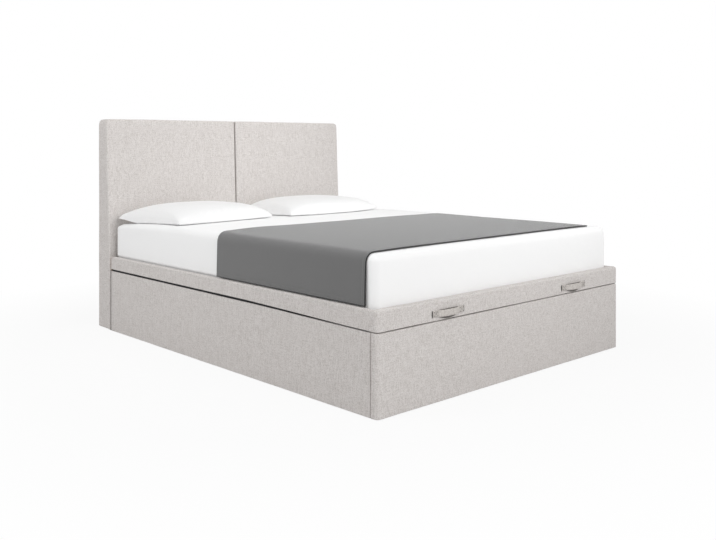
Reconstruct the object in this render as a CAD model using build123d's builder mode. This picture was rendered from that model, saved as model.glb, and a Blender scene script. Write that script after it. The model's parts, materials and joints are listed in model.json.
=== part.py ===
from build123d import *
import math
import os

os.makedirs("parts", exist_ok=True)

# Driving dimensions, in millimetres. +X is right seen from the foot, -Y the foot, +Z up.
mattress_width = 1600.0
mattress_length = 2000.0
mattress_height = 248.0
side_reveal = 25.0
foot_reveal = 42.0
head_gap = 8.0
base_height = 314.0
lid_gap = 4.0
rail_height = 79.0
headboard_height = 1132.0
headboard_depth = 132.0
headboard_rake = 29.0
handle_reach = 20.0

# Clearances
fit = 0.05
loose = 0.2
soft_gap = 0.3
open_pivot_play = 1.0
overrun = 1.0

# Base box: boards with padded covers
board = 18.0
side_padding = 17.0
top_padding = 10.0
glide_height = 5.0
glide_width = 16.0
side_glide_count = 4
foot_glide_count = 3
corner_radius = 23.0
edge_softness = 8.0
head_panel_drop = 14.0
ledge_width = 25.0
ledge_low = 8.0
ledge_height = 18.0
floor_board = 6.0
floor_gap = 1.0
beam_half_width = 30.0
buffer_side_shares = (0.08, 0.36, 0.64)

# Headboard: two halves of timber, padding and a backing board
seam_half = 2.0
inner_wrap = 6.0
outer_wrap = 12.0
top_wrap = 14.0
frame_depth = 40.0
backing = 4.0
backing_inset = 12.0
backing_corner = 10.0
front_softness = 18.0
back_softness = 12.0
crown_chamfer = 6.0
mount_rail_inset = 40.0
mount_rail_low = 40.0
mount_rail_high = 300.0
dowel_radius = 6.0
dowel_length = 80.0
dowel_height_shares = (0.45, 0.85)

# Lid: steel platform with an upholstered timber rim
rim_side = 22.0
rim_foot = 40.0
rim_lip = 2.0
rim_padding = 8.0
rim_wrap = 4.0
rim_ledge = 20.0
rim_head_gap = 2.0
rim_core_chamfer = 8.0
tube_width = 40.0
tube_height = 20.0
tube_wall = 1.5
platform_head_gap = 19.0
slat_cap_height = 12.0

# Fasteners
bolt_radius = 4.0
bolt_head_radius = 8.0
bolt_head = 4.0
bolt_bite = 13.0
angle_leg = 60.0
angle_steel = 3.0
angle_low = 60.0
angle_height = 190.0
angle_hole_in = 36.0
angle_hole_shares = (0.2, 0.8)
headboard_bolt_grip = 78.0
headboard_bolt_x_shares = (0.2, 0.75)
headboard_bolt_z_share = 0.55

# Places that follow from the sizes above
half_width = mattress_width / 2 + side_reveal
inner_length = foot_reveal + mattress_length + head_gap
y_foot = handle_reach - (handle_reach + inner_length + headboard_depth) / 2
y_front = y_foot + inner_length
y_back = y_front + headboard_depth
y_backing = y_back - backing
y_frame = y_backing - frame_depth
panel_depth = board + side_padding
x_wall = half_width - panel_depth
y_wall_foot = y_foot + panel_depth
y_wall_head = y_front - board
board_top = base_height - top_padding
floor_level = ledge_low + ledge_height
rim_bottom = base_height + lid_gap
rim_top = rim_bottom + rail_height
rim_core_low = rim_bottom + rim_wrap
rim_core_top = rim_top - rim_padding
x_rim = half_width - rim_side
y_rim = y_foot + rim_foot
x_tube = x_rim - rim_ledge
y_tube_foot = y_rim + rim_ledge
y_tube_head = y_front - platform_head_gap
y_rim_head = y_front - rim_head_gap
tube_bottom = rim_bottom - lid_gap / 2
tube_top = tube_bottom + tube_height
slat_level = tube_top + slat_cap_height
mattress_top = slat_level + mattress_height

angle_heights = [angle_low + angle_height * share for share in angle_hole_shares]
corners = ((y_wall_foot, 1), (y_wall_head, -1))
dowel_places = [
    (y_frame + frame_depth / 2, headboard_height * share) for share in dowel_height_shares
]
headboard_bolt_places = [
    (x_wall * share, base_height * headboard_bolt_z_share) for share in headboard_bolt_x_shares
]

# Lifting linkage: each pivot as its distance from the headboard's face, and its
# drop below the platform or its rise above the storage floor.
# From the wall inwards come plate, rear arm, lid bracket, front arm and strut.
# The strut's ends lie at one distance from the rear arm's lower pivot, so that
# rod and cylinder turn by half the arm's swing and stay in line.
arm_pivot_reach = 800.3
arm_pivot_drop = 145.1
arm_lid_pivot_reach = 421.0
arm_lid_pivot_drop = 36.0
link_pivot_reach = 944.2
link_pivot_rise = 23.0
link_lid_pivot_reach = 454.8
link_lid_pivot_drop = 84.8
strut_mount_radius = 227.0
strut_low_rise = 28.0
strut_lug_angle = 19.45
arm_thickness = 6.0
arm_half_width = 13.0
lug_half_width = 10.0
lug_foot_shares = (0.26, 0.8)
lug_hole_share = 0.5
lug_hole_radius = 12.0
plate_thickness = 4.0
plate_margin = 17.0
washer_gap = 1.0
bracket_thickness = 5.0
bracket_margin = 16.0
flange_thickness = 4.0
flange_head_reach = 74.0
flange_foot_reach = 139.0
flange_corner = 2.0
flange_bolt_shares = (0.12, 0.88)
flange_bolt_radius = 3.0
flange_bolt_bite = 8.0
pin_radius = 5.0
pin_head_radius = 9.0
pin_head = 3.0
pin_end_gap = 0.5
strut_pin_radius = 4.0
strut_pin_head_radius = 8.0
strut_eye_radius = 10.0
strut_eye = 11.0
strut_gap = 2.0
cylinder_radius = 11.0
cylinder_bore = 8.5
cylinder_start = 20.0
cylinder_floor = 4.0
guide_length = 10.0
neck_radius = 5.0
neck_overlap = 6.0
rod_radius = 5.0
rod_showing = 31.0
piston_rest = 24.0
piston_height = 8.0
piston_gap = 0.1
plate_bolt_along_shares = (0.1, 0.44, 0.86)
plate_bolt_up_shares = (0.25, 0.85, 0.3)

x_plate = x_wall - plate_thickness
x_arm = x_plate - washer_gap - arm_thickness
x_bracket = x_arm - washer_gap - bracket_thickness
x_link = x_bracket - washer_gap - arm_thickness
x_strut = x_link - strut_gap - cylinder_radius


def between(start, end, share):
    """The point a share of the way from one place to another."""
    return tuple(a + (b - a) * share for a, b in zip(start, end))


def around(centre, radius, angle):
    """The place at a distance from another, an angle above the level towards the head."""
    turn = math.radians(angle)
    return (centre[0] + radius * math.cos(turn), centre[1] + radius * math.sin(turn))


floor_top = floor_level + floor_board
arm_low = (y_front - arm_pivot_reach, tube_bottom - arm_pivot_drop)
arm_high = (y_front - arm_lid_pivot_reach, tube_bottom - arm_lid_pivot_drop)
link_low = (y_front - link_pivot_reach, floor_top + link_pivot_rise)
link_high = (y_front - link_lid_pivot_reach, tube_bottom - link_lid_pivot_drop)
arm_angle = math.degrees(math.atan2(arm_high[1] - arm_low[1], arm_high[0] - arm_low[0]))
strut_drop = arm_low[1] - floor_top - strut_low_rise
strut_low_angle = math.degrees(math.asin(strut_drop / strut_mount_radius))
strut_low = around(arm_low, strut_mount_radius, -strut_low_angle)
strut_high = around(arm_low, strut_mount_radius, arm_angle + strut_lug_angle)
strut_closed = math.dist(strut_low, strut_high)
cylinder_end = strut_closed - rod_showing
piston_start = cylinder_start + cylinder_floor + piston_rest
strut_line = Plane(
    origin=(x_strut, *strut_low),
    x_dir=(1, 0, 0),
    z_dir=(0, strut_high[0] - strut_low[0], strut_high[1] - strut_low[1]),
)
plate_bolt_places = [
    (
        strut_low[0] + (link_low[0] - strut_low[0]) * along,
        link_low[1] + (arm_low[1] - link_low[1]) * up,
    )
    for along, up in zip(plate_bolt_along_shares, plate_bolt_up_shares)
]
flange_head = arm_high[0] + flange_head_reach
flange_foot = arm_high[0] - flange_foot_reach
flange_bolt_places = [
    ((x_tube - tube_width + x_bracket) / 2, flange_foot + (flange_head - flange_foot) * share)
    for share in flange_bolt_shares
]


def save(part, name):
    """Label a finished piece and write it."""
    part.label = name
    export_step(part, f"parts/{name}.step")


def save_pair(piece, name):
    """Write a piece made on the right, and its mirror image on the left."""
    save(piece.part, f"{name}_right")
    save(mirror(piece.part, about=Plane.YZ), f"{name}_left")


def block(x_span, y_span, z_span, mode=Mode.ADD):
    """A straight board, batten or cut between two corners."""
    middle = [(low + high) / 2 for low, high in (x_span, y_span, z_span)]
    with Locations(tuple(middle)):
        Box(
            x_span[1] - x_span[0],
            y_span[1] - y_span[0],
            z_span[1] - z_span[0],
            mode=mode,
        )


def bars(axis, span, places, radius, mode=Mode.ADD):
    """Round bars or holes of one size, from low to high along an axis."""
    low, high = span
    plane = {"x": Plane.YZ.offset(low), "y": Plane.XZ.offset(-high), "z": Plane.XY.offset(low)}[axis]
    with Locations(*[plane.location * Pos(*spot) for spot in places]):
        Cylinder(radius, high - low, align=(Align.CENTER, Align.CENTER, Align.MIN), mode=mode)


def pads(span, places):
    """Square glides or buffers, from low to high."""
    low, high = span
    with Locations(*[(*spot, (low + high) / 2) for spot in places]):
        Box(glide_width, glide_width, high - low)


def hex_heads(axis, span, places, radius):
    """Six-sided bolt heads, from low to high along an axis."""
    low, high = span
    plane = {"x": Plane.YZ.offset(low), "y": Plane.XZ.offset(-high), "z": Plane.XY.offset(low)}[axis]
    with BuildSketch(plane) as heads:
        with Locations(*places):
            RegularPolygon(radius, 6)
    extrude(heads.sketch, amount=high - low)


def spread(low, high, count):
    """Evenly spaced places from low to high, both ends included."""
    return [low + (high - low) * step / (count - 1) for step in range(count)]


# Base: side, foot and head boards
tie_holes = [(side * x, z) for side in (-1, 1) for x, z in headboard_bolt_places]

with BuildPart() as side_panel:
    block((x_wall, x_wall + board), (y_wall_foot, y_front), (glide_height, board_top))
    bite_span = (x_wall, x_wall + bolt_bite + overrun)
    bars("x", bite_span, plate_bolt_places, bolt_radius + loose, Mode.SUBTRACT)
save_pair(side_panel, "side_panel")

with BuildPart() as side_cover:
    with BuildSketch(Plane.XZ.offset(-y_front)) as side_section:
        with BuildLine():
            Polyline(
                (x_wall, board_top),
                (x_wall + board, board_top),
                (x_wall + board, glide_height),
                (half_width, glide_height),
                (half_width, base_height),
                (x_wall, base_height),
                close=True,
            )
        make_face()
        fillet(side_section.vertices().group_by(Axis.X)[-1], edge_softness)
    extrude(amount=y_front - y_wall_foot)
save_pair(side_cover, "side_cover")

with BuildPart() as foot_panel:
    block(
        (-x_wall - board, x_wall + board),
        (y_wall_foot - board, y_wall_foot),
        (glide_height, board_top),
    )
save(foot_panel.part, "foot_panel")

with BuildPart() as foot_cover:
    with BuildSketch(Plane.XY.offset(glide_height)) as foot_plan:
        with Locations((0, y_foot + panel_depth / 2)):
            Rectangle(2 * half_width, panel_depth)
        fillet(foot_plan.vertices().group_by(Axis.Y)[0], corner_radius)
    extrude(amount=base_height - glide_height)
    fillet(foot_cover.edges().group_by(Axis.Z)[-1].sort_by(Axis.Y)[:-1], edge_softness)
    block(
        (-x_wall - board, x_wall + board),
        (y_wall_foot - board, y_wall_foot + overrun),
        (glide_height - overrun, board_top),
        Mode.SUBTRACT,
    )
save(foot_cover.part, "foot_cover")

with BuildPart() as head_panel:
    block((-x_wall, x_wall), (y_wall_head, y_front), (glide_height, base_height - head_panel_drop))
    bars("y", (y_wall_head, y_front), tie_holes, bolt_radius + loose, Mode.SUBTRACT)
save(head_panel.part, "head_panel")

# Base: steel angles in the four corners, with their bolt heads
side_heads = [(y + inward * angle_hole_in, z) for y, inward in corners for z in angle_heights]
cross_heads = [(x_wall - angle_hole_in, z) for z in angle_heights]

with BuildPart() as corner_brackets:
    for y_corner, inward in corners:
        with BuildSketch(Plane.XY.offset(angle_low)):
            with BuildLine():
                Polyline(
                    (x_wall, y_corner),
                    (x_wall - angle_leg, y_corner),
                    (x_wall - angle_leg, y_corner + inward * angle_steel),
                    (x_wall - angle_steel, y_corner + inward * angle_steel),
                    (x_wall - angle_steel, y_corner + inward * angle_leg),
                    (x_wall, y_corner + inward * angle_leg),
                    close=True,
                )
            make_face()
        extrude(amount=angle_height)
        y_seat = y_corner + inward * angle_steel
        head_span = sorted((y_seat, y_seat + inward * bolt_head))
        hex_heads("y", head_span, cross_heads, bolt_head_radius)
    x_seat = x_wall - angle_steel
    hex_heads("x", (x_seat - bolt_head, x_seat), side_heads, bolt_head_radius)
    mirror(about=Plane.YZ)
save(corner_brackets.part, "corner_brackets")

with BuildPart() as headboard_bolts:
    hex_heads("y", (y_wall_head - bolt_head, y_wall_head), tie_holes, bolt_head_radius)
    bars("y", (y_wall_head, y_wall_head + headboard_bolt_grip), tie_holes, bolt_radius)
save(headboard_bolts.part, "headboard_bolts")

# Base: storage floor on battens and a centre beam
y_floor_foot = y_wall_foot + floor_gap
y_floor_head = y_wall_head - floor_gap

with BuildPart() as floor_ledge:
    block((x_wall - ledge_width, x_wall), (y_wall_foot, y_wall_head), (ledge_low, floor_level))
save_pair(floor_ledge, "floor_ledge")

with BuildPart() as floor_beam:
    block(
        (-beam_half_width, beam_half_width),
        (y_wall_foot, y_wall_head),
        (glide_height, floor_level),
    )
    chamfer(floor_beam.edges().filter_by(Axis.Y).group_by(Axis.Z)[0], floor_gap)
save(floor_beam.part, "floor_beam")

with BuildPart() as floor_panel:
    block(
        (floor_gap / 2, x_wall - floor_gap),
        (y_floor_foot, y_floor_head),
        (floor_level, floor_top),
    )
save_pair(floor_panel, "floor_panel")

with BuildPart() as glides:
    glide_inset = angle_leg
    side_row = spread(y_wall_foot + glide_inset, y_front - glide_inset, side_glide_count)
    foot_row = spread(-x_wall / 2, x_wall / 2, foot_glide_count)
    head_row = spread(glide_inset - x_wall, x_wall - glide_inset, side_glide_count)
    under_sides = [(side * (x_wall + board / 2), y) for side in (-1, 1) for y in side_row]
    under_foot = [(x, y_wall_foot - board / 2) for x in foot_row]
    under_head = [(x, y_frame + frame_depth / 2) for x in head_row]
    under_beam = [(0, y) for y in side_row]
    pads((0, glide_height), under_sides + under_foot + under_head + under_beam)
save(glides.part, "glides")

with BuildPart() as lid_buffers:
    x_buffer = half_width - panel_depth / 2
    buffer_places = [(x_buffer, y_foot + inner_length * share) for share in buffer_side_shares]
    buffer_places += [(x_wall / 2, y_foot + panel_depth / 2)]
    pads((base_height, rim_bottom), buffer_places)
    mirror(about=Plane.YZ)
save(lid_buffers.part, "lid_buffers")

# Headboard: each half is a timber frame in a padded cover with a backing board
x_half = (seam_half + half_width) / 2

with BuildPart() as headboard_timber:
    block(
        (seam_half + inner_wrap, half_width - outer_wrap),
        (y_frame, y_backing),
        (glide_height, headboard_height - top_wrap),
    )
    block(
        (mount_rail_inset, x_wall - inner_wrap),
        (y_front, y_frame),
        (mount_rail_low, mount_rail_high),
    )

with BuildPart() as headboard_frame:
    add(headboard_timber.part)
    bars(
        "y",
        (y_front, y_wall_head + headboard_bolt_grip + overrun),
        headboard_bolt_places,
        bolt_radius + loose,
        Mode.SUBTRACT,
    )
    bars("x", (0, dowel_length / 2 + overrun), dowel_places, dowel_radius + loose, Mode.SUBTRACT)
save_pair(headboard_frame, "headboard_frame")

with BuildPart() as headboard_back:
    with BuildSketch(Plane.XZ.offset(-y_back)) as backing_outline:
        with Locations((x_half, (glide_height + headboard_height) / 2)):
            RectangleRounded(
                half_width - seam_half - 2 * backing_inset,
                headboard_height - glide_height - 2 * backing_inset,
                backing_corner,
            )
    extrude(amount=backing)
save_pair(headboard_back, "headboard_back")

with BuildPart() as headboard_cover:
    with BuildSketch(Plane.YZ.offset(seam_half)):
        with BuildLine():
            Polyline(
                (y_front, glide_height),
                (y_front, rim_top),
                (y_front + headboard_rake, headboard_height),
                (y_back, headboard_height),
                (y_back, glide_height),
                close=True,
            )
        make_face()
    extrude(amount=half_width - seam_half)
    front_and_rake = headboard_cover.edges().filter_by(Plane.YZ).sort_by(Axis.Y)[:4]
    fillet(front_and_rake, front_softness)
    fillet(headboard_cover.edges().filter_by(Axis.Z).sort_by(Axis.Y)[-2:], back_softness)
    chamfer(headboard_cover.edges().group_by(Axis.Z)[-1], crown_chamfer)
    add(headboard_timber.part, mode=Mode.SUBTRACT)
    add(headboard_back.part, mode=Mode.SUBTRACT)
    bars("x", (0, seam_half + inner_wrap), dowel_places, dowel_radius + loose, Mode.SUBTRACT)
save_pair(headboard_cover, "headboard_cover")

with BuildPart() as headboard_dowels:
    bars("x", (-dowel_length / 2, dowel_length / 2), dowel_places, dowel_radius)
save(headboard_dowels.part, "headboard_dowels")

# Lifting hinges: a wall plate with its pins, two arms and a gas strut on each side
with BuildPart() as hinge_plate:
    with BuildSketch(Plane.YZ.offset(x_plate)) as plate_outline:
        with Locations(arm_low, link_low, strut_low):
            Circle(plate_margin)
        make_hull()
    extrude(amount=plate_thickness)
    bars("x", (x_plate, x_wall), [arm_low, link_low], pin_radius + fit, Mode.SUBTRACT)
    bars("x", (x_plate, x_wall), [strut_low], strut_pin_radius + fit, Mode.SUBTRACT)
    bars("x", (x_plate, x_wall), plate_bolt_places, bolt_radius + loose, Mode.SUBTRACT)
save_pair(hinge_plate, "hinge_plate")

with BuildPart() as hinge_plate_bolts:
    hex_heads("x", (x_plate - bolt_head, x_plate), plate_bolt_places, bolt_head_radius)
    bars("x", (x_plate, x_wall + bolt_bite), plate_bolt_places, bolt_radius)
    mirror(about=Plane.YZ)
save(hinge_plate_bolts.part, "hinge_plate_bolts")

x_eye_inner = x_strut - strut_eye / 2 - pin_end_gap
x_eye_outer = x_strut + strut_eye / 2 + pin_end_gap

with BuildPart() as hinge_pins:
    for x_face, pivot in ((x_arm, arm_low), (x_link, link_low)):
        x_pin_end = x_face - pin_end_gap
        bars("x", (x_pin_end, x_wall), [pivot], pin_radius)
        bars("x", (x_pin_end - pin_head, x_pin_end), [pivot], pin_head_radius)
    bars("x", (x_bracket, x_plate), [link_low], pin_head_radius)
    bars("x", (x_eye_inner, x_wall), [strut_low], strut_pin_radius)
    bars("x", (x_eye_outer, x_plate), [strut_low], strut_pin_head_radius)
    bars("x", (x_eye_inner - pin_head, x_eye_inner), [strut_low], strut_pin_head_radius)
    mirror(about=Plane.YZ)
save(hinge_pins.part, "hinge_pins")

with BuildPart() as rear_arm:
    with BuildSketch(Plane.YZ.offset(x_arm)) as arm_outline:
        with Locations(arm_low, arm_high):
            Circle(arm_half_width)
        make_hull()
        lug_feet = [between(arm_low, arm_high, share) for share in lug_foot_shares]
        with BuildSketch(mode=Mode.PRIVATE) as lug_outline:
            with Locations(*lug_feet):
                Circle(arm_half_width)
            with Locations(strut_high):
                Circle(lug_half_width)
            make_hull()
        add(lug_outline.sketch_local)
        lug_hole = between(between(*lug_feet, lug_hole_share), strut_high, lug_hole_share / 2)
        with Locations(lug_hole):
            Circle(lug_hole_radius, mode=Mode.SUBTRACT)
    extrude(amount=arm_thickness)
    bars("x", (x_arm, x_arm + arm_thickness), [arm_low], pin_radius + fit, Mode.SUBTRACT)
    x_stud_end = x_bracket - pin_end_gap
    bars("x", (x_stud_end, x_arm), [arm_high], pin_radius)
    bars("x", (x_stud_end - pin_head, x_stud_end), [arm_high], pin_head_radius)
    bars("x", (x_eye_outer, x_arm), [strut_high], strut_pin_head_radius)
    bars("x", (x_eye_inner, x_eye_outer), [strut_high], strut_pin_radius)
    bars("x", (x_eye_inner - pin_head, x_eye_inner), [strut_high], strut_pin_head_radius)
save_pair(rear_arm, "rear_arm")

with BuildPart() as front_arm:
    with BuildSketch(Plane.YZ.offset(x_link)):
        with Locations(link_low, link_high):
            Circle(arm_half_width)
        make_hull()
    extrude(amount=arm_thickness)
    bars("x", (x_link, x_link + arm_thickness), [link_low], pin_radius + fit, Mode.SUBTRACT)
    bars("x", (x_link + arm_thickness, x_bracket + bracket_thickness), [link_high], pin_radius)
save_pair(front_arm, "front_arm")

with BuildPart() as strut_cylinder:
    bars("x", (x_strut - strut_eye / 2, x_strut + strut_eye / 2), [strut_low], strut_eye_radius)
    with BuildSketch(strut_line.offset(neck_overlap)):
        Circle(neck_radius)
    extrude(amount=cylinder_start - neck_overlap)
    with BuildSketch(strut_line.offset(cylinder_start)):
        Circle(cylinder_radius)
    extrude(amount=cylinder_end - cylinder_start)
    with BuildSketch(strut_line.offset(cylinder_start + cylinder_floor)):
        Circle(cylinder_bore)
    extrude(
        amount=cylinder_end - guide_length - cylinder_start - cylinder_floor,
        mode=Mode.SUBTRACT,
    )
    with BuildSketch(strut_line.offset(cylinder_end - guide_length)):
        Circle(rod_radius + fit)
    extrude(amount=guide_length, mode=Mode.SUBTRACT)
    eye_span = (x_strut - strut_eye / 2, x_strut + strut_eye / 2)
    bars("x", eye_span, [strut_low], strut_pin_radius + fit, Mode.SUBTRACT)
save_pair(strut_cylinder, "strut_cylinder")

with BuildPart() as strut_rod:
    bars("x", eye_span, [strut_high], strut_eye_radius)
    with BuildSketch(strut_line.offset(piston_start)):
        Circle(rod_radius)
    extrude(amount=strut_closed - piston_start - neck_overlap)
    with BuildSketch(strut_line.offset(piston_start)):
        Circle(cylinder_bore - piston_gap)
    extrude(amount=piston_height)
    bars("x", eye_span, [strut_high], strut_pin_radius + fit, Mode.SUBTRACT)
save_pair(strut_rod, "strut_rod")

# Lid: steel platform of rectangular tube
tube_size = (tube_width, tube_height)
x_side_tube = x_tube - tube_width / 2
x_inner = x_tube - tube_width
z_tube = (tube_bottom + tube_top) / 2

with BuildPart() as side_tube:
    with BuildSketch(Plane.XZ.offset(-y_tube_head)):
        with Locations((x_side_tube, z_tube)):
            Rectangle(*tube_size)
            Rectangle(tube_width - 2 * tube_wall, tube_height - 2 * tube_wall, mode=Mode.SUBTRACT)
    extrude(amount=y_tube_head - y_tube_foot)
    bars(
        "z",
        (tube_bottom, tube_bottom + tube_height / 2),
        flange_bolt_places,
        flange_bolt_radius + loose,
        Mode.SUBTRACT,
    )
save_pair(side_tube, "lid_side_tube")

y_foot_tube = y_tube_foot + tube_width / 2
y_head_tube = y_tube_head - tube_width / 2

for name, y_middle in (("lid_foot_tube", y_foot_tube), ("lid_head_tube", y_head_tube)):
    with BuildPart() as cross_tube:
        with BuildSketch(Plane.YZ.offset(-x_inner)):
            with Locations((y_middle, z_tube)):
                Rectangle(*tube_size)
                Rectangle(
                    tube_width - 2 * tube_wall,
                    tube_height - 2 * tube_wall,
                    mode=Mode.SUBTRACT,
                )
        extrude(amount=2 * x_inner)
    save(cross_tube.part, name)

with BuildPart() as centre_tube:
    with BuildSketch(Plane.XZ.offset(tube_width - y_tube_head)):
        with Locations((0, z_tube)):
            Rectangle(*tube_size)
            Rectangle(tube_width - 2 * tube_wall, tube_height - 2 * tube_wall, mode=Mode.SUBTRACT)
    extrude(amount=y_tube_head - y_tube_foot - 2 * tube_width)
save(centre_tube.part, "lid_centre_tube")

# Lid: brackets that hang from the side tubes and carry the arms' upper pivots
with BuildPart() as lid_bracket:
    with BuildSketch(Plane.YZ.offset(x_bracket)):
        with Locations(arm_high, link_high):
            Circle(bracket_margin)
        with Locations(
            (flange_head - flange_corner, tube_bottom - flange_corner),
            (flange_foot + flange_corner, tube_bottom - flange_corner),
        ):
            Circle(flange_corner)
        make_hull()
    extrude(amount=bracket_thickness)
    block(
        (x_inner, x_bracket),
        (flange_foot, flange_head),
        (tube_bottom - flange_thickness, tube_bottom),
    )
    bracket_span = (x_bracket, x_bracket + bracket_thickness)
    bars("x", bracket_span, [arm_high], pin_radius + fit, Mode.SUBTRACT)
    bars("x", bracket_span, [link_high], pin_radius + open_pivot_play, Mode.SUBTRACT)
    bars(
        "z",
        (tube_bottom - flange_thickness, tube_bottom),
        flange_bolt_places,
        flange_bolt_radius + loose,
        Mode.SUBTRACT,
    )
save_pair(lid_bracket, "lid_bracket")

with BuildPart() as lid_bracket_bolts:
    z_flange = tube_bottom - flange_thickness
    hex_heads("z", (z_flange - bolt_head, z_flange), flange_bolt_places, bolt_head_radius)
    bars("z", (z_flange, tube_bottom + flange_bolt_bite), flange_bolt_places, flange_bolt_radius)
    mirror(about=Plane.YZ)
save(lid_bracket_bolts.part, "lid_bracket_bolts")

# Lid: timber rim with a ledge on the tubes, under a padded cover
x_core = x_rim + rim_lip
x_core_out = half_width - rim_padding
y_core = y_rim - rim_lip

with BuildPart() as rail_side:
    with BuildSketch(Plane.XZ.offset(-y_rim_head)):
        with BuildLine():
            Polyline(
                (x_tube, rim_core_low),
                (x_core_out, rim_core_low),
                (x_core_out, rim_core_top),
                (x_core, rim_core_top),
                (x_core, tube_top),
                (x_tube, tube_top),
                close=True,
            )
        make_face()
    extrude(amount=y_rim_head - y_rim)
save_pair(rail_side, "lid_rail")

with BuildPart() as cover_side:
    with BuildSketch(Plane.XZ.offset(-y_rim_head)) as rim_section:
        with BuildLine():
            Polyline(
                (x_tube, rim_bottom),
                (half_width, rim_bottom),
                (half_width, rim_top),
                (x_rim, rim_top),
                (x_rim, tube_top),
                (x_core, tube_top),
                (x_core, rim_core_top),
                (x_core_out, rim_core_top),
                (x_core_out, rim_core_low),
                (x_tube, rim_core_low),
                close=True,
            )
        make_face()
        fillet(rim_section.vertices().group_by(Axis.X)[-1], edge_softness)
    extrude(amount=y_rim_head - y_rim)
save_pair(cover_side, "lid_cover")

with BuildPart() as rail_foot:
    block((-x_core_out, x_core_out), (y_foot + rim_padding, y_core), (rim_core_low, rim_core_top))
    chamfer(rail_foot.edges().filter_by(Axis.Z).group_by(Axis.Y)[0], rim_core_chamfer)
    block((-x_tube, x_tube), (y_core, y_tube_foot), (rim_core_low, tube_top))
save(rail_foot.part, "lid_rail_foot")

with BuildPart() as cover_foot:
    with BuildSketch(Plane.XY.offset(rim_bottom)) as rim_plan:
        with Locations((0, y_foot + rim_foot / 2)):
            Rectangle(2 * half_width, rim_foot)
        fillet(rim_plan.vertices().group_by(Axis.Y)[0], corner_radius)
    extrude(amount=rail_height)
    fillet(cover_foot.edges().group_by(Axis.Z)[-1].sort_by(Axis.Y)[:-1], edge_softness)
    fillet(cover_foot.edges().group_by(Axis.Z)[0].sort_by(Axis.Y)[:-1], edge_softness)
    block((-x_tube, x_tube), (y_rim, y_tube_foot), (rim_bottom, rim_core_low))
    add(rail_foot.part, mode=Mode.SUBTRACT)
save(cover_foot.part, "lid_cover_foot")

# Lid: sprung slats in end caps, two rows
slat_width = 68.0
slat_thickness = 8.0
slat_count = 13
slat_end_gap = 30.0
cap_length = 30.0
cap_wall = 2.0
cap_overhang = 3.0

y_slats = spread(
    y_tube_foot + tube_width + slat_end_gap,
    y_tube_head - tube_width - slat_end_gap,
    slat_count,
)
x_caps = (cap_overhang, x_tube - cap_overhang - cap_wall)
z_slat = slat_level - slat_cap_height / 2

with BuildPart() as slats:
    with Locations(*[(sum(x_caps) / 2, y, z_slat) for y in y_slats]):
        Box(x_caps[1] - x_caps[0] - 2 * cap_wall, slat_width, slat_thickness)
save_pair(slats, "slats")

with BuildPart() as slat_caps:
    x_low, x_high = x_caps
    cap_rows = (x_low + cap_length / 2, x_high - cap_length / 2)
    with Locations(*[(x, y, z_slat) for x in cap_rows for y in y_slats]):
        Box(cap_length, slat_width + 2 * cap_wall, slat_cap_height)
    with Locations(*[(sum(x_caps) / 2, y, z_slat) for y in y_slats]):
        Box(
            x_high - x_low - 2 * cap_wall,
            slat_width + loose,
            slat_thickness + loose,
            mode=Mode.SUBTRACT,
        )
    mirror(about=Plane.YZ)
save(slat_caps.part, "slat_caps")

# Bedding that lies on the lid: mattress, pillows and throw
mattress_corner = 45.0
mattress_softness = 30.0
pillow_width = 700.0
pillow_depth = 490.0
pillow_height = 94.0
pillow_corner = 75.0
pillow_edge_inset = 65.0
pillow_section_shares = ((-1, 1), (0, 0), (1, 1))
pillow_left_edge = 10.0
pillow_pitch = 770.0
pillow_head_gap = 24.0
throw_width = 980.0
throw_from_foot = 80.0
throw_thickness = 5.0
throw_above_rim = 3.0
throw_bare_width = 112.0

with BuildPart() as mattress:
    with BuildSketch(Plane.XY.offset(slat_level)):
        with Locations((0, y_foot + foot_reveal + mattress_length / 2)):
            RectangleRounded(mattress_width, mattress_length, mattress_corner)
    extrude(amount=mattress_height)
    fillet(mattress.edges().group_by(Axis.Z)[-1], mattress_softness)
save(mattress.part, "mattress")

x_pillow = pillow_left_edge - mattress_width / 2 + pillow_width / 2
for name, x_middle in (("pillow_left", x_pillow), ("pillow_right", x_pillow + pillow_pitch)):
    with BuildPart() as pillow:
        for height_share, inset_share in pillow_section_shares:
            z_section = mattress_top + soft_gap + pillow_height * (1 + height_share) / 2
            inset = pillow_edge_inset * inset_share
            with BuildSketch(Plane.XY.offset(z_section)):
                with Locations((x_middle, y_front - pillow_head_gap - pillow_depth / 2)):
                    RectangleRounded(
                        pillow_width - 2 * inset,
                        pillow_depth - 2 * inset,
                        pillow_corner - inset,
                    )
        loft(ruled=True)
    save(pillow.part, name)

with BuildPart() as throw:
    y_throw = y_foot + throw_from_foot
    z_hem = rim_top + throw_above_rim
    x_throw_right = mattress_width / 2 - throw_bare_width
    with BuildSketch(Plane.XZ.offset(-y_throw - throw_width)) as throw_section:
        for spare, mode in ((throw_thickness, Mode.ADD), (0, Mode.SUBTRACT)):
            top = mattress_top + soft_gap + spare
            across = x_throw_right + mattress_width / 2 + soft_gap + spare
            with BuildSketch(mode=Mode.PRIVATE) as arch:
                with Locations((x_throw_right, z_hem)):
                    Rectangle(across, top - z_hem, align=(Align.MAX, Align.MIN))
                upper = arch.vertices().group_by(Axis.Y)[-1]
                fillet(upper.sort_by(Axis.X)[0], mattress_softness + spare)
            add(arch.sketch_local, mode=mode)
    extrude(amount=throw_width)
save(throw.part, "throw")

# Pull handles: bowed fabric straps on the foot of the rim
handle_width = 185.0
handle_height = 26.0
handle_low = 15.0
handle_thickness = 6.0
handle_share = 0.53

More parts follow.
